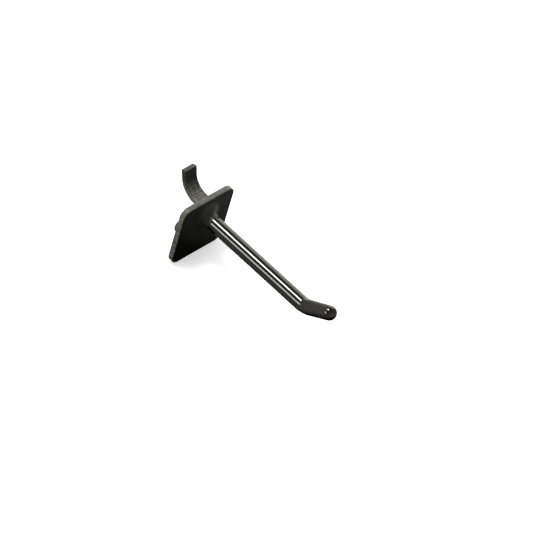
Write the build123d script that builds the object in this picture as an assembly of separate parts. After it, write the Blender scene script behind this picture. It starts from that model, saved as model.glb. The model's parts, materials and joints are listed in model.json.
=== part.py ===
from build123d import *

import math
import os

# Single-arm peg hook for a perforated board, assumed to have 3/8 in holes on 1 in centres.
#
# Frame: the origin is the centre of the back plate's rear face, the face that lies on the board.
# +Y goes into the board, -Y out into the room along the arm, +Z is up, and X is left to right.
# The hook is symmetrical about the plane X = 0. All sizes are in millimetres.

# The perforated board that the hook is assumed to fit
HOLE_PITCH = 25.4
HOLE_DIAMETER = 9.53
HOLE_CLEARANCE = 1.59

# Back plate
PLATE_WIDTH = 34.6
PLATE_HEIGHT = 37.2
PLATE_THICKNESS = 3.2
PLATE_CORNER_RADIUS = 4.8
PLATE_EDGE_RADIUS = 0.4
SOCKET_DEPTH = 2.0
SOCKET_CLEARANCE = 0.02

# Retaining prong: a flat strap that goes through the upper hole and turns up behind the board
PRONG_WIDTH = 8.0
PRONG_THICKNESS = 3.0
PRONG_EDGE_RADIUS = 0.5
PRONG_Z = 14.0
PRONG_ROOT_LENGTH = 2.7
PRONG_BEND_RADIUS = 10.8
PRONG_TURN_DEG = 72.0
PRONG_END_LENGTH = 4.9

# Locating peg: a round peg in the hole below, which stops the hook from swinging
PEG_DIAMETER = HOLE_DIAMETER - HOLE_CLEARANCE
PEG_REACH = 11.2
PEG_END_RADIUS = 1.7
PEG_SPIGOT_DIAMETER = 5.0
PEG_Z = PRONG_Z - HOLE_PITCH

# Arm: a round bar, bent up near its end and tapered a little beyond the bend
ARM_Z = 7.2
ARM_DIAMETER = 7.8
ARM_END_DIAMETER = 7.55
ARM_CORNER_REACH = 70.9
ARM_BEND_RADIUS = 12.0
ARM_RISE_DEG = 31.5
ARM_TIP_LENGTH = 20.5
ARM_END_ROUNDING = 3.6

# The arm's tenon passes through the plate, and its end is hammered out into a countersink
TENON_DIAMETER = 5.2
TENON_HEAD_DIAMETER = 7.4
TENON_HEAD_DEPTH = 1.1

# Welds: a wide ring dressed smooth round the arm's root, and rough beads across the prong's root
ARM_WELD_LEG = 5.8
PRONG_WELD_LEG = 1.9
PRONG_WELD_LENGTH = 6.6

OUT_OF_BOARD = (0, -1, 0)
INTO_BOARD = (0, 1, 0)
CENTRED_ON_BASE = (Align.CENTER, Align.CENTER, Align.MIN)


def along(direction, y, z):
    """The plane through (0, y, z) whose normal is the given direction."""
    return Plane(origin=(0, y, z), x_dir=(1, 0, 0), z_dir=direction)


def tenon(clearance=0.0):
    """The arm's tenon and its riveted head, or the hole for them when a clearance is given."""
    shaft_radius = TENON_DIAMETER / 2 + clearance
    head_radius = TENON_HEAD_DIAMETER / 2 + clearance
    head_front = -TENON_HEAD_DEPTH
    shaft = Cylinder(shaft_radius, PLATE_THICKNESS - TENON_HEAD_DEPTH, align=CENTRED_ON_BASE)
    head = Cone(shaft_radius, head_radius, TENON_HEAD_DEPTH, align=CENTRED_ON_BASE)
    return along(INTO_BOARD, -PLATE_THICKNESS, ARM_Z) * shaft + along(INTO_BOARD, head_front, ARM_Z) * head


def strap_section(clearance=0.0):
    """The strap's cross-section, with its rounded edges."""
    width = PRONG_WIDTH + 2 * clearance
    thickness = PRONG_THICKNESS + 2 * clearance
    return RectangleRounded(width, thickness, PRONG_EDGE_RADIUS)


def make_back_plate():
    """Plate with rounded corners, a through hole for the arm and blind sockets behind."""
    blank = extrude(
        Plane.XZ * RectangleRounded(PLATE_WIDTH, PLATE_HEIGHT, PLATE_CORNER_RADIUS),
        amount=PLATE_THICKNESS,
    )
    rims = blank.faces().sort_by(Axis.Y)[0].edges() + blank.faces().sort_by(Axis.Y)[-1].edges()
    plate = fillet(rims, PLATE_EDGE_RADIUS)
    peg_socket = Cylinder(PEG_SPIGOT_DIAMETER / 2 + SOCKET_CLEARANCE, SOCKET_DEPTH, align=CENTRED_ON_BASE)
    prong_socket = extrude(along(OUT_OF_BOARD, 0, PRONG_Z) * strap_section(SOCKET_CLEARANCE), SOCKET_DEPTH)
    return plate - tenon(SOCKET_CLEARANCE) - along(OUT_OF_BOARD, 0, PEG_Z) * peg_socket - prong_socket


def make_hook_arm():
    """Shank, bend and upturned tip in one bar, with the riveted tenon at its root."""
    rise = math.radians(ARM_RISE_DEG)
    setback = ARM_BEND_RADIUS * math.tan(rise / 2)
    corner_y = -PLATE_THICKNESS - ARM_CORNER_REACH
    radius = ARM_DIAMETER / 2

    root = (0, -PLATE_THICKNESS, ARM_Z)
    bend_start = (0, corner_y + setback, ARM_Z)
    bend_end = (0, corner_y - setback * math.cos(rise), ARM_Z + setback * math.sin(rise))
    path = Wire([
        Line(root, bend_start),
        TangentArc(bend_start, bend_end, tangent=OUT_OF_BOARD),
    ])
    bar = sweep(along(OUT_OF_BOARD, *root[1:]) * Circle(radius), path=path)

    tip = Cone(radius, ARM_END_DIAMETER / 2, ARM_TIP_LENGTH - setback, align=CENTRED_ON_BASE)
    tip = fillet(tip.edges().sort_by(Axis.Z)[-1], ARM_END_ROUNDING)
    tip = along((0, -math.cos(rise), math.sin(rise)), *bend_end[1:]) * tip

    return bar + tip + tenon()


def make_arm_weld():
    """Concave ring of weld in the corner between the arm and the plate's front face."""
    radius = ARM_DIAMETER / 2
    front = -PLATE_THICKNESS
    corner = (radius, front)
    outer = (radius + ARM_WELD_LEG, front)
    tip = (radius, front - ARM_WELD_LEG)
    ring = make_face([Line(corner, outer), RadiusArc(outer, tip, -ARM_WELD_LEG), Line(tip, corner)])
    return Pos(0, 0, ARM_Z) * revolve(ring, Axis.Y)


def make_retaining_prong():
    """Strap whose root sits in the plate's socket, and which curves up to stand nearly upright."""
    turn = math.radians(PRONG_TURN_DEG)
    root = (0, -SOCKET_DEPTH, PRONG_Z)
    bend_start = (0, PRONG_ROOT_LENGTH, PRONG_Z)
    bend_end = (
        0,
        PRONG_ROOT_LENGTH + PRONG_BEND_RADIUS * math.sin(turn),
        PRONG_Z + PRONG_BEND_RADIUS * (1 - math.cos(turn)),
    )
    end = (
        0,
        bend_end[1] + PRONG_END_LENGTH * math.cos(turn),
        bend_end[2] + PRONG_END_LENGTH * math.sin(turn),
    )
    path = Wire([
        Line(root, bend_start),
        TangentArc(bend_start, bend_end, tangent=INTO_BOARD),
        Line(bend_end, end),
    ])
    return sweep(along(INTO_BOARD, *root[1:]) * strap_section(), path=path)


def make_prong_weld():
    """A bead above the strap and a bead below it, in the corners with the plate's rear face."""
    beads = []
    for side in (1, -1):
        corner = (0, PRONG_Z + side * PRONG_THICKNESS / 2)
        on_strap = (PRONG_WELD_LEG, corner[1])
        on_plate = (0, corner[1] + side * PRONG_WELD_LEG)
        section = Plane.YZ * make_face([
            Line(corner, on_strap),
            RadiusArc(on_strap, on_plate, -side * 2 * PRONG_WELD_LEG),
            Line(on_plate, corner),
        ])
        beads.append(extrude(section, PRONG_WELD_LENGTH / 2, both=True))
    return Compound(children=beads)


def make_locating_peg():
    """Round peg with a rounded end, and the spigot that is pressed into the plate."""
    peg = Cylinder(PEG_DIAMETER / 2, PEG_REACH, align=CENTRED_ON_BASE)
    peg = fillet(peg.edges().sort_by(Axis.Z)[-1], PEG_END_RADIUS)
    spigot = Cylinder(PEG_SPIGOT_DIAMETER / 2, SOCKET_DEPTH, align=CENTRED_ON_BASE)
    return along(INTO_BOARD, 0, PEG_Z) * peg + along(OUT_OF_BOARD, 0, PEG_Z) * spigot


PARTS = {
    "back_plate": make_back_plate,
    "hook_arm": make_hook_arm,
    "arm_weld": make_arm_weld,
    "retaining_prong": make_retaining_prong,
    "prong_weld": make_prong_weld,
    "locating_peg": make_locating_peg,
}


def main():
    os.makedirs("parts", exist_ok=True)
    for name, make in PARTS.items():
        export_step(make(), f"parts/{name}.step")


main()
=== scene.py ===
import json
import math

import bmesh
import bpy
from mathutils import Matrix, Vector, noise


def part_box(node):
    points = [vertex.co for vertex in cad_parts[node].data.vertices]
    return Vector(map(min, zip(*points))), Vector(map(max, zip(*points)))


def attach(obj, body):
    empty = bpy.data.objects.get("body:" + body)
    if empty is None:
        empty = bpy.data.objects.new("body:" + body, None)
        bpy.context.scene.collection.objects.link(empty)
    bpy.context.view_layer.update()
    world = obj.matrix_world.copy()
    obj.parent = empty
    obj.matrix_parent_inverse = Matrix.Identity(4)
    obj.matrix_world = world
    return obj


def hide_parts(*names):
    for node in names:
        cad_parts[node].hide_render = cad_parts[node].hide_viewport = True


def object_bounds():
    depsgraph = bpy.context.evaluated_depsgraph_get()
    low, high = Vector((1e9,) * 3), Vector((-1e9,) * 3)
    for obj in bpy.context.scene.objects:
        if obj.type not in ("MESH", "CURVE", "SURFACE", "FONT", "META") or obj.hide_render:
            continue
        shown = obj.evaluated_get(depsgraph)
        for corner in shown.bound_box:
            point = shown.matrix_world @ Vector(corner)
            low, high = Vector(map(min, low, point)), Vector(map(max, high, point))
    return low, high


# A peg hook for a perforated board, on a pale floor. All sizes are in metres.
# The plate's rear face is at Y = 0, the arm runs along -Y, +Z is up, and X = 0 is the plane of symmetry.

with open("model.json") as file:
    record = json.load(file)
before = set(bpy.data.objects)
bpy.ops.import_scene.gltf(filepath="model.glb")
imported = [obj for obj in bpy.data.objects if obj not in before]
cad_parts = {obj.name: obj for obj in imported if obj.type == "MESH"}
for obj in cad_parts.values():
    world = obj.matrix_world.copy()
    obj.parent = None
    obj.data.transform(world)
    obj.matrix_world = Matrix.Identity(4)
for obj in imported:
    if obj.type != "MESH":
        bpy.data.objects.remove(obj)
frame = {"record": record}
cad_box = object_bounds()
mounts = {mount["name"]: Vector(mount["pos_m"]) for mount in frame["record"]["mounts"]}

MM = 0.001

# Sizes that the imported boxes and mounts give
PLATE_LOW, PLATE_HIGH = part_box("back_plate")
PLATE_FRONT = PLATE_LOW.y
ARM_Z = mounts["hanging_arm"].z
PEG_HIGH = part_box("locating_peg")[1]
PEG_RADIUS = PEG_HIGH.x
PEG_Z = mounts["locating_peg"].z
PRONG_LOW, PRONG_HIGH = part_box("retaining_prong")
PRONG_WIDTH = PRONG_HIGH.x - PRONG_LOW.x
PRONG_Z = mounts["retaining_prong"].z

# Shapes that the boxes don't give
PLATE_CORNER = 4.8 * MM
PLATE_EDGE = 0.4 * MM
TENON_RADIUS = 2.6 * MM
TENON_HEAD_RADIUS = 3.7 * MM
TENON_HEAD_DEPTH = 1.1 * MM
ARM_RADIUS = 3.9 * MM
ARM_END_RADIUS = 3.775 * MM
ARM_REACH = 70.9 * MM
ARM_CURVE = 12.0 * MM
ARM_RISE = math.radians(31.5)
ARM_TIP = 20.5 * MM
ARM_END_ROUNDING = 3.6 * MM
ARM_WELD_LEG = 5.8 * MM
PRONG_THICKNESS = 3.0 * MM
PRONG_EDGE = 0.5 * MM
PRONG_ROOT = 2.7 * MM
PRONG_CURVE = 10.8 * MM
PRONG_TURN = math.radians(72.0)
PRONG_END = 4.9 * MM
PRONG_WELD_LEG = 1.9 * MM
PRONG_WELD_LENGTH = 6.6 * MM
PEG_END_ROUNDING = 1.7 * MM

# Small offsets that keep one surface just outside or inside another
PROUD = 0.02 * MM
SUNK = 0.05 * MM

SHARP_ANGLE = math.radians(38)


# ---------------------------------------------------------------- mesh helpers

def skin(name, rings, pole_first=None, pole_last=None, joined=False):
    """A mesh of quads between rings of points, closed at a pole at each end, or joined into a loop."""
    mesh = bmesh.new()
    loops = [[mesh.verts.new(point) for point in ring] for ring in rings]
    pairs = list(zip(loops, loops[1:]))
    if joined:
        pairs.append((loops[-1], loops[0]))
    for near, far in pairs:
        for i in range(len(near)):
            j = (i + 1) % len(near)
            mesh.faces.new((near[i], near[j], far[j], far[i]))
    for loop, pole in ((loops[0], pole_first), (loops[-1], pole_last)):
        if pole is not None:
            centre = mesh.verts.new(pole)
            for i in range(len(loop)):
                mesh.faces.new((loop[i], loop[(i + 1) % len(loop)], centre))
    bmesh.ops.recalc_face_normals(mesh, faces=mesh.faces)
    data = bpy.data.meshes.new(name)
    mesh.to_mesh(data)
    mesh.free()
    data.shade_smooth()
    data.set_sharp_from_angle(angle=SHARP_ANGLE)
    piece = bpy.data.objects.new(name, data)
    bpy.context.scene.collection.objects.link(piece)
    return piece


def steps(count):
    """Fractions from 0 to 1, both included."""
    return [i / count for i in range(count + 1)]


def circle(centre, axis, radius, count, flatten=0.0):
    """Points round an axis in the plane X = 0. Flatten narrows the ring in that plane."""
    side = Vector((1, 0, 0))
    up = axis.cross(side)
    turns = [math.tau * i / count for i in range(count)]
    return [centre + radius * (math.cos(t) * side + (1 - flatten) * math.sin(t) * up) for t in turns]


def rounded_rectangle(half_width, half_height, corner, per_side, per_corner):
    """Points (across, up) of a rounded rectangle, anticlockwise from the middle of its right side."""
    points = []
    centres = [(1, 1), (-1, 1), (-1, -1), (1, -1)]
    for quarter, (sx, sy) in enumerate(centres):
        cx, cy = sx * (half_width - corner), sy * (half_height - corner)
        for step in steps(per_corner):
            angle = math.pi / 2 * (quarter + step)
            points.append((cx + corner * math.cos(angle), cy + corner * math.sin(angle)))
        nx, ny = centres[(quarter + 1) % 4]
        ex, ey = nx * (half_width - corner), ny * (half_height - corner)
        angle = math.pi / 2 * (quarter + 1)
        start = points[-1]
        end = (ex + corner * math.cos(angle), ey + corner * math.sin(angle))
        for step in steps(per_side)[1:-1]:
            points.append((start[0] + (end[0] - start[0]) * step, start[1] + (end[1] - start[1]) * step))
    return points


def dressed(piece, slot, material, *nodes):
    """Gives a piece its material and its body, and hides the CAD nodes that it stands for. Its slot is not
    used.
    """
    piece.data.materials.append(material)
    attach(piece, "root")
    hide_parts(*nodes)
    return piece


# ---------------------------------------------------------------- the pieces' meshes

def make_plate():
    """Plate with rounded corners and edges, and the countersunk hole that the tenon is riveted in."""
    def outline(inset, y):
        corner = PLATE_CORNER - inset
        points = rounded_rectangle(PLATE_HIGH.x - inset, PLATE_HIGH.z - inset, corner, 24, 14)
        return [Vector((x, y, z)) for x, z in points]

    def hole(radius, y):
        directions = [(p - Vector((0, p.y, ARM_Z))).normalized() for p in outline(0, y)]
        return [Vector((0, y, ARM_Z)) + radius * d for d in directions]

    def face(inner, outer):
        return [[a.lerp(b, t) for a, b in zip(inner, outer)] for t in steps(8)]

    rings = face(hole(TENON_RADIUS, PLATE_FRONT), outline(PLATE_EDGE, PLATE_FRONT))
    for t in steps(6)[1:]:
        angle = math.pi / 2 * t
        inset = PLATE_EDGE * (1 - math.sin(angle))
        rings.append(outline(inset, PLATE_FRONT + PLATE_EDGE * (1 - math.cos(angle))))
    for t in steps(6)[1:]:
        angle = math.pi / 2 * t
        rings.append(outline(PLATE_EDGE * (1 - math.cos(angle)), -PLATE_EDGE * (1 - math.sin(angle))))
    rings += face(outline(PLATE_EDGE, 0), hole(TENON_HEAD_RADIUS, 0))[1:]
    rings.append(hole(TENON_RADIUS, -TENON_HEAD_DEPTH))
    return skin("plate", rings, joined=True)


def make_arm():
    """One bar: riveted head, tenon, shank, bend and slightly tapered tip with a rounded end."""
    around = 96
    out = Vector((0, -1, 0))
    root = Vector((0, PLATE_FRONT, ARM_Z))
    setback = ARM_CURVE * math.tan(ARM_RISE / 2)
    rings = []

    def ring(centre, axis, radius, flatten=0.0):
        rings.append(circle(centre, axis, radius, around, flatten))

    dish_depth = 0.06 * MM
    for t in steps(10)[1:]:
        dish = dish_depth * math.sin(math.pi * t)
        ring(Vector((0, -dish, ARM_Z)), out, TENON_HEAD_RADIUS * t)
    ring(Vector((0, -TENON_HEAD_DEPTH, ARM_Z)), out, TENON_RADIUS)
    ring(root, out, TENON_RADIUS)
    for t in steps(48):
        ring(root + out * (ARM_REACH - setback) * t, out, ARM_RADIUS)
    centre = root + out * (ARM_REACH - setback) + Vector((0, 0, ARM_CURVE))
    for t in steps(20)[1:]:
        turn = ARM_RISE * t
        axis = Vector((0, -math.cos(turn), math.sin(turn)))
        arm = Vector((0, -math.sin(turn), -math.cos(turn)))
        ring(centre + ARM_CURVE * arm, axis, ARM_RADIUS, 0.02 * math.sin(math.pi * t))
    axis = Vector((0, -math.cos(ARM_RISE), math.sin(ARM_RISE)))
    tip_start = centre + ARM_CURVE * Vector((0, -math.sin(ARM_RISE), -math.cos(ARM_RISE)))
    tip_length = ARM_TIP - setback
    straight = tip_length - ARM_END_ROUNDING
    for t in steps(20)[1:]:
        radius = ARM_RADIUS + (ARM_END_RADIUS - ARM_RADIUS) * t
        ring(tip_start + axis * straight * t, axis, radius)
    for t in steps(14)[1:]:
        angle = math.pi / 2 * t
        radius = ARM_END_RADIUS - ARM_END_ROUNDING * (1 - math.cos(angle))
        ring(tip_start + axis * (straight + ARM_END_ROUNDING * math.sin(angle)), axis, radius)
    end = tip_start + axis * (tip_length + PROUD)
    return skin("arm", rings, pole_first=Vector((0, 0, ARM_Z)), pole_last=end)


def make_arm_weld():
    """Wide concave ring of weld round the arm's root, dressed smooth but not quite even."""
    around = 180
    turns = [math.tau * i / around for i in range(around)]

    def ring(radius, y, wear):
        points = []
        for turn in turns:
            wander = noise.noise(Vector((math.cos(turn), math.sin(turn), y / ARM_WELD_LEG)) * 1.5)
            local = radius - wear * (1 + wander)
            points.append(Vector((local * math.cos(turn), y, ARM_Z + local * math.sin(turn))))
        return points

    rings = []
    unevenness = 0.05 * MM
    for t in steps(24):
        angle = math.pi / 2 * t
        radius = ARM_RADIUS + ARM_WELD_LEG * (1 - math.sin(angle))
        y = PLATE_FRONT - ARM_WELD_LEG * (1 - math.cos(angle))
        rings.append(ring(radius + PROUD, y, unevenness * math.sin(2 * angle)))
    inner = ARM_RADIUS - 0.1 * MM
    rings.append(ring(inner, PLATE_FRONT - ARM_WELD_LEG, 0))
    rings.append(ring(inner, PLATE_FRONT + PROUD, 0))
    return skin("arm_weld_ring", rings, joined=True)


def bending_ridge(distance):
    """Height of the wrinkles that bending pressed across the strap's inner face near its root."""
    start, pitch, count = 2.2 * MM, 1.7 * MM, 3
    along = (distance - start) / pitch
    if not 0 < along < count:
        return 0.0
    return 0.2 * MM * math.sin(math.pi * along) ** 2


def make_prong():
    """Strap swept along its straight root, its curve and its straight end, with rounded edges."""
    section = rounded_rectangle(PRONG_WIDTH / 2, PRONG_THICKNESS / 2, PRONG_EDGE, 16, 5)
    rings = []

    def ring(centre, direction, inset=0.0, ridge=0.0):
        normal = Vector((0, -direction.z, direction.y))
        narrow_x = 1 - inset / (PRONG_WIDTH / 2)
        narrow_n = 1 - inset / (PRONG_THICKNESS / 2)
        points = []
        for x, n in section:
            wander = 1 + 0.8 * noise.noise(Vector((x / MM, centre.y / MM, 0)))
            raised = ridge * wander if n > PRONG_THICKNESS / 2 - 0.01 * MM else 0.0
            points.append(centre + Vector((x * narrow_x, 0, 0)) + normal * (n * narrow_n + raised))
        rings.append(points)

    into_board = Vector((0, 1, 0))
    start = -SUNK
    for t in steps(12):
        y = start + (PRONG_ROOT - start) * t
        ring(Vector((0, y, PRONG_Z)), into_board, ridge=bending_ridge(y))
    centre = Vector((0, PRONG_ROOT, PRONG_Z + PRONG_CURVE))
    for t in steps(96)[1:]:
        turn = PRONG_TURN * t
        spot = centre + PRONG_CURVE * Vector((0, math.sin(turn), -math.cos(turn)))
        ridge = bending_ridge(PRONG_ROOT + PRONG_CURVE * turn)
        ring(spot, Vector((0, math.cos(turn), math.sin(turn))), ridge=ridge)
    direction = Vector((0, math.cos(PRONG_TURN), math.sin(PRONG_TURN)))
    end_start = centre + PRONG_CURVE * Vector((0, math.sin(PRONG_TURN), -math.cos(PRONG_TURN)))
    ease = 0.25 * MM
    for t in steps(10)[1:]:
        ring(end_start + direction * (PRONG_END - ease) * t, direction)
    for t in steps(5)[1:]:
        angle = math.pi / 2 * t
        spot = end_start + direction * (PRONG_END - ease * (1 - math.sin(angle)))
        ring(spot, direction, inset=ease * (1 - math.cos(angle)))
    last = end_start + direction * PRONG_END
    return skin("prong", rings, pole_first=Vector((0, start, PRONG_Z)), pole_last=last)


def make_prong_weld(side):
    """Beads run in three ridges across the strap's root, above it (side 1) or below it (side -1)."""
    rings = []
    corner = Vector((0, 0, PRONG_Z + side * PRONG_THICKNESS / 2))
    half = PRONG_WELD_LENGTH / 2
    for t in steps(72):
        x = -half + PRONG_WELD_LENGTH * t
        end_taper = math.sqrt(max(0.0, 1 - abs(2 * t - 1) ** 6))
        ripple = 0.93 + 0.07 * noise.noise(Vector((x / MM * 1.6, side, 0)))
        leg = max(0.12, end_taper * ripple) * PRONG_WELD_LEG
        bead = [corner + Vector((x, -0.03 * MM, -side * 0.03 * MM))]
        for s in steps(24):
            angle = math.pi / 2 * s
            ridges = 0.09 * abs(math.sin(3 * angle)) + 0.04 * noise.noise(Vector((x / MM * 2, s * 3, side)))
            reach = leg * (1 - 0.3 * math.sin(2 * angle) + ridges * math.sin(2 * angle))
            bead.append(corner + Vector((x, reach * math.sin(angle), side * reach * math.cos(angle))))
        rings.append(bead)
    first, last = (sum(ring, Vector()) / len(ring) for ring in (rings[0], rings[-1]))
    name = "prong_weld_upper" if side > 0 else "prong_weld_lower"
    return skin(name, rings, pole_first=first, pole_last=last)


def make_peg():
    """Round peg with a rounded end and a narrow relief groove at the plate."""
    reach = PEG_HIGH.y
    start = -SUNK
    neck = PEG_RADIUS - 0.25 * MM
    shoulder = 0.5 * MM
    profile = [(neck, start), (neck, 0.25 * MM), (PEG_RADIUS, shoulder)]
    for t in steps(12)[1:]:
        profile.append((PEG_RADIUS, shoulder + (reach - PEG_END_ROUNDING - shoulder) * t))
    for t in steps(12)[1:]:
        angle = math.pi / 2 * t
        radius = PEG_RADIUS - PEG_END_ROUNDING * (1 - math.cos(angle))
        profile.append((radius, reach - PEG_END_ROUNDING * (1 - math.sin(angle))))
    rings = [circle(Vector((0, y, PEG_Z)), Vector((0, 1, 0)), radius, 72) for radius, y in profile]
    return skin("peg", rings, pole_first=Vector((0, start, PEG_Z)), pole_last=Vector((0, reach, PEG_Z)))


# ---------------------------------------------------------------- materials

USUAL_SPECULAR = 0.5
OLIVE_TINT = (1.0, 1.0, 0.84)


def ranged(nodes, links, value, low, high, to_low=0.0, to_high=1.0):
    """A value moved from one range of numbers to another, and held within it."""
    mapped = nodes.new("ShaderNodeMapRange")
    mapped.inputs["From Min"].default_value = low
    mapped.inputs["From Max"].default_value = high
    mapped.inputs["To Min"].default_value = to_low
    mapped.inputs["To Max"].default_value = to_high
    links.new(value, mapped.inputs["Value"])
    return mapped.outputs["Result"]


def dot(nodes, links, vector, direction):
    """How far a vector reaches along a direction."""
    product = nodes.new("ShaderNodeVectorMath")
    product.operation = "DOT_PRODUCT"
    product.inputs[1].default_value = direction
    links.new(vector, product.inputs[0])
    return product.outputs["Value"]


def noise_at(nodes, links, place, size, detail):
    """Noise with features of about a size, in metres."""
    texture = nodes.new("ShaderNodeTexNoise")
    texture.inputs["Scale"].default_value = 1 / size
    texture.inputs["Detail"].default_value = detail
    links.new(place, texture.inputs["Vector"])
    return texture.outputs["Fac"]


def mask_by_facing(nodes, links, direction, low, high):
    """A mask that rises from 0 to 1 as the surface turns to face along a direction, either way."""
    place = nodes.new("ShaderNodeTexCoord")
    size = nodes.new("ShaderNodeMath")
    size.operation = "ABSOLUTE"
    links.new(dot(nodes, links, place.outputs["Normal"], direction), size.inputs[0])
    return ranged(nodes, links, size.outputs["Value"], low, high)


def with_painted_shade(nodes, links, shader, colour, painted_shade):
    """A colour and gloss that weaken to a least share towards the near end of a direction, as painted
    shade.
    """
    direction, near, far, least = painted_shade
    place = nodes.new("ShaderNodeTexCoord")
    along = dot(nodes, links, place.outputs["Object"], direction)
    share = ranged(nodes, links, along, near, far, least)
    deeper = nodes.new("ShaderNodeVectorMath")
    deeper.operation = "SCALE"
    links.new(colour, deeper.inputs[0])
    links.new(share, deeper.inputs["Scale"])
    duller = nodes.new("ShaderNodeMath")
    duller.operation = "MULTIPLY"
    duller.inputs[1].default_value = USUAL_SPECULAR
    links.new(share, duller.inputs[0])
    links.new(duller.outputs["Value"], shader.inputs["Specular IOR Level"])
    return deeper.outputs["Vector"]


def blend_wear_and_sheen(nodes, links, colour, mottle, wear_and_sheen):
    """A colour that gives way in patches to a tone on the faces along a direction, partly wear and partly
    painted sheen.
    """
    wear_and_sheen_colour, direction, low, high = wear_and_sheen
    share = nodes.new("ShaderNodeMath")
    share.operation = "MULTIPLY"
    links.new(mask_by_facing(nodes, links, direction, low, high), share.inputs[0])
    links.new(ranged(nodes, links, mottle, 0.4, 0.65, 0.45), share.inputs[1])
    blend = nodes.new("ShaderNodeMix")
    blend.data_type = "RGBA"
    blend.inputs["B"].default_value = (*wear_and_sheen_colour, 1)
    links.new(colour, blend.inputs["A"])
    links.new(share.outputs["Value"], blend.inputs["Factor"])
    return blend.outputs["Result"]


def black_finish(name, dark, light, metallic, roughness, mottle_size, grain_size, grain_depth,
                 stretch=(1, 1, 1), wear_and_sheen=None, painted_shade=None):
    """Black finish with a mottled tone, and a fine grain in its gloss and relief.

    A tone for the faces along a direction, partly wear and partly painted sheen, comes with the limits of
    its mask. A painted shade makes the black deeper and duller towards the near end of a direction: near,
    far and the least share that is left.
    """
    material = bpy.data.materials.new(name)
    material.use_nodes = True
    nodes, links = material.node_tree.nodes, material.node_tree.links
    shader = nodes["Principled BSDF"]
    shader.inputs["Metallic"].default_value = metallic
    shader.inputs["Specular Tint"].default_value = (*OLIVE_TINT, 1)
    place = nodes.new("ShaderNodeTexCoord")
    stretched = nodes.new("ShaderNodeMapping")
    stretched.inputs["Scale"].default_value = stretch
    links.new(place.outputs["Object"], stretched.inputs["Vector"])
    mottle = noise_at(nodes, links, place.outputs["Object"], mottle_size, 6)
    grain = noise_at(nodes, links, stretched.outputs["Vector"], grain_size, 3)

    tone = nodes.new("ShaderNodeValToRGB")
    tone.color_ramp.elements[0].position = 0.3
    tone.color_ramp.elements[0].color = (*dark, 1)
    tone.color_ramp.elements[1].position = 0.75
    tone.color_ramp.elements[1].color = (*light, 1)
    links.new(mottle, tone.inputs["Fac"])
    colour = tone.outputs["Color"]
    if painted_shade:
        colour = with_painted_shade(nodes, links, shader, colour, painted_shade)
    if wear_and_sheen:
        colour = blend_wear_and_sheen(nodes, links, colour, mottle, wear_and_sheen)
    links.new(colour, shader.inputs["Base Color"])
    links.new(ranged(nodes, links, grain, 0.3, 0.7, *roughness), shader.inputs["Roughness"])

    bump = nodes.new("ShaderNodeBump")
    bump.inputs["Strength"].default_value = 1.0
    bump.inputs["Distance"].default_value = grain_depth
    links.new(grain, bump.inputs["Height"])
    links.new(bump.outputs["Normal"], shader.inputs["Normal"])
    return material


PRONG_END_FACING = (0, math.cos(PRONG_TURN), math.sin(PRONG_TURN))
# Grey for the plate's rims: partly wear, partly painted sheen.
EDGE_WEAR_AND_SHEEN_GREY = (0.075, 0.075, 0.066)
# Grey for the prong's end face and the flat faces near its root: partly wear, partly painted sheen.
END_WEAR_AND_SHEEN_GREY = (0.05, 0.05, 0.045)
TO_UPPER_RIGHT = (0.6, 0, 0.8)
# Painted shade: the plate and the weld ring turn blacker and less glossy towards their lower left.
PAINTED_SHADE_LOWER_LEFT = (TO_UPPER_RIGHT, -12 * MM, 18 * MM, 0.06)

plate_finish = black_finish("plate_black", (0.008, 0.008, 0.006), (0.02, 0.02, 0.015), 0.0, (0.4, 0.55),
                            2.5 * MM, 0.35 * MM, 0.006 * MM,
                            wear_and_sheen=(EDGE_WEAR_AND_SHEEN_GREY, (0, 1, 0), 0.8, 0.4),
                            # painted shade towards the lower left
                            painted_shade=PAINTED_SHADE_LOWER_LEFT)
arm_finish = black_finish("arm_black_nickel", (0.045, 0.045, 0.041), (0.06, 0.06, 0.054), 1.0, (0.05, 0.1),
                          6 * MM, 0.5 * MM, 0.0008 * MM, (1, 0.08, 1))
prong_finish = black_finish("prong_black", (0.02, 0.02, 0.016), (0.16, 0.16, 0.135), 0.15, (0.3, 0.5),
                            1.2 * MM, 0.4 * MM, 0.012 * MM,
                            wear_and_sheen=(END_WEAR_AND_SHEEN_GREY, PRONG_END_FACING, 0.75, 0.9),
                            # Painted shade: the prong turns blacker and less glossy towards its top, so its
                            # root stays lighter.
                            painted_shade=((0, 0, -1), -20.5 * MM, -15 * MM, 0.25))
peg_finish = black_finish("peg_black", (0.03, 0.03, 0.028), (0.05, 0.05, 0.046), 0.6, (0.25, 0.4),
                          2 * MM, 0.3 * MM, 0.004 * MM)
ring_finish = black_finish("ring_black", (0.008, 0.008, 0.006), (0.02, 0.02, 0.015), 0.0, (0.35, 0.5),
                           1.5 * MM, 0.4 * MM, 0.003 * MM,
                           # painted shade towards the lower left
                           painted_shade=PAINTED_SHADE_LOWER_LEFT)
weld_finish = black_finish("weld_black", (0.03, 0.03, 0.027), (0.16, 0.16, 0.15), 0.5, (0.3, 0.5),
                           0.8 * MM, 0.25 * MM, 0.02 * MM)

dressed(make_plate(), "plate_finish", plate_finish, "back_plate")
dressed(make_arm(), "arm_finish", arm_finish, "hook_arm")
dressed(make_arm_weld(), "ring_finish", ring_finish, "arm_weld")
dressed(make_prong(), "prong_finish", prong_finish, "retaining_prong")
dressed(make_prong_weld(1), "weld_finish", weld_finish, "prong_weld")
dressed(make_prong_weld(-1), "weld_finish", weld_finish, "prong_weld")
dressed(make_peg(), "peg_finish", peg_finish, "locating_peg")


# ---------------------------------------------------------------- floor, light and camera

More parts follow.
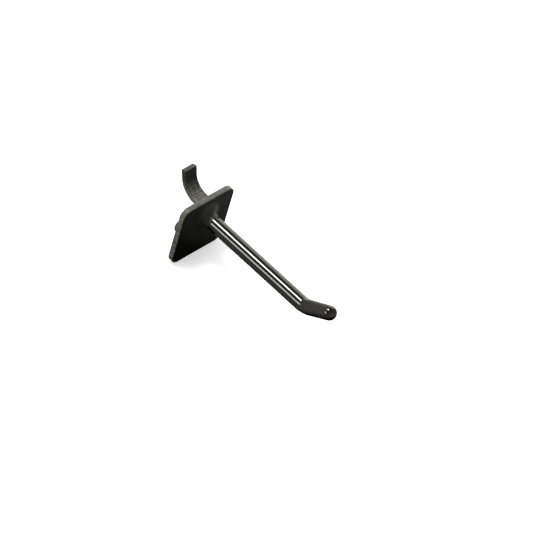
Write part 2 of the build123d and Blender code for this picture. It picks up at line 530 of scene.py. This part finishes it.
def make_floor():
    """Pale floor, softly lit from beneath. Reflections look past it, to the dark studio."""
    data = bpy.data.meshes.new("floor")
    reach = 6.0
    level = cad_box[0].z
    corners = [(-reach, -reach), (reach, -reach), (reach, reach), (-reach, reach)]
    data.from_pydata([(x, y, level) for x, y in corners], [], [(0, 1, 2, 3)])
    floor = bpy.data.objects.new("floor", data)
    bpy.context.scene.collection.objects.link(floor)
    material = bpy.data.materials.new("pale_floor")
    material.use_nodes = True
    shader = material.node_tree.nodes["Principled BSDF"]
    shader.inputs["Base Color"].default_value = (0.8, 0.8, 0.8, 1)
    shader.inputs["Roughness"].default_value = 0.9
    shader.inputs["Specular IOR Level"].default_value = 0.1
    shader.inputs["Emission Color"].default_value = (1, 1, 1, 1)
    shader.inputs["Emission Strength"].default_value = 0.5
    data.materials.append(material)
    floor.visible_glossy = False


def make_softbox(name, direction, distance, across, along, radiance):
    """A rectangular light that shines on the hook from a direction, with one side lying along the arm."""
    light = bpy.data.lights.new(name, "AREA")
    light.shape = "RECTANGLE"
    light.size = across
    light.size_y = along
    light.energy = radiance * math.pi * across * along
    lamp = bpy.data.objects.new(name, light)
    bpy.context.scene.collection.objects.link(lamp)
    towards = Vector(direction).normalized()
    level = Vector((0, 1, 0)).cross(towards).normalized()
    upright = towards.cross(level)
    place = Vector((0, -0.035, 0)) + towards * distance
    lamp.matrix_world = Matrix.Translation(place) @ Matrix((level, upright, towards)).transposed().to_4x4()
    lamp.visible_camera = False


def make_world():
    """Dim studio, brightest behind the plate and nearly black low down in front of it."""
    world = bpy.data.worlds.new("studio")
    bpy.context.scene.world = world
    world.use_nodes = True
    nodes, links = world.node_tree.nodes, world.node_tree.links
    background = nodes["Background"]
    place = nodes.new("ShaderNodeTexCoord")

    def levels_along(direction, stops):
        """Grey levels by how far the line of sight points along a direction, from -1 to 1."""
        along = dot(nodes, links, place.outputs["Generated"], direction)
        levels = nodes.new("ShaderNodeValToRGB")
        elements = levels.color_ramp.elements
        for at, _ in stops[1:-1]:
            elements.new((at + 1) / 2)
        for element, (_, level) in zip(elements, stops):
            element.color = (level, level, level, 1)
        links.new(ranged(nodes, links, along, -1, 1), levels.inputs["Fac"])
        return levels.outputs["Color"]

    def product(first, second):
        both = nodes.new("ShaderNodeVectorMath")
        both.operation = "MULTIPLY"
        links.new(first, both.inputs[0])
        links.new(second, both.inputs[1])
        return both.outputs["Vector"]

    heights = [(-1, 0.15), (-0.85, 0.22), (-0.6, 0.5), (-0.2, 0.5), (0.1, 0.4), (1, 0.35)]
    depths = [(-1, 0.8), (-0.6, 0.5), (0, 0.4), (0.35, 0.5), (0.85, 1.0), (1, 1.0)]
    by_height = levels_along((0, 0, 1), heights)
    by_depth = levels_along((0, 1, 0), depths)
    low_in_front = levels_along((0, -0.5, -0.87), [(-1, 1.0), (0.6, 1.0), (0.72, 0.2), (1, 0.2)])
    links.new(product(product(by_height, by_depth), low_in_front), background.inputs["Color"])
    background.inputs["Strength"].default_value = 2.0


def make_camera():
    """Long lens above and to the left of the arm, rolled a little, as the hook was photographed."""
    azimuth, elevation, roll = (math.radians(a) for a in (-56.4, 45.6, 17.0))
    distance = 3.0
    frame_width = 261.17 * MM
    aim_right, aim_down = 33.2 * MM, 21.85 * MM
    back = Vector((
        math.sin(azimuth) * math.cos(elevation),
        -math.cos(azimuth) * math.cos(elevation),
        math.sin(elevation),
    ))
    level = Vector((0, 0, 1)).cross(back).normalized()
    upright = back.cross(level)
    right = math.cos(roll) * level + math.sin(roll) * upright
    up = back.cross(right)
    camera = bpy.data.cameras.new("camera")
    camera.sensor_width = 36
    camera.lens = camera.sensor_width * distance / frame_width
    camera.clip_end = 50
    holder = bpy.data.objects.new("camera", camera)
    bpy.context.scene.collection.objects.link(holder)
    place = right * aim_right - up * aim_down + back * distance
    holder.matrix_world = Matrix.Translation(place) @ Matrix((right, up, back)).transposed().to_4x4()
    bpy.context.scene.camera = holder


make_floor()
make_softbox("key_light", (-0.20, 0.39, 0.90), 1.0, 0.25, 0.4, 32)
make_softbox("left_light", (-0.86, 0.39, 0.32), 1.0, 0.30, 0.4, 9)
make_softbox("right_light", (0.85, 0.39, 0.36), 1.2, 1.1, 1.2, 2.5)
make_world()
make_camera()
bpy.context.scene.view_settings.view_transform = "Standard"
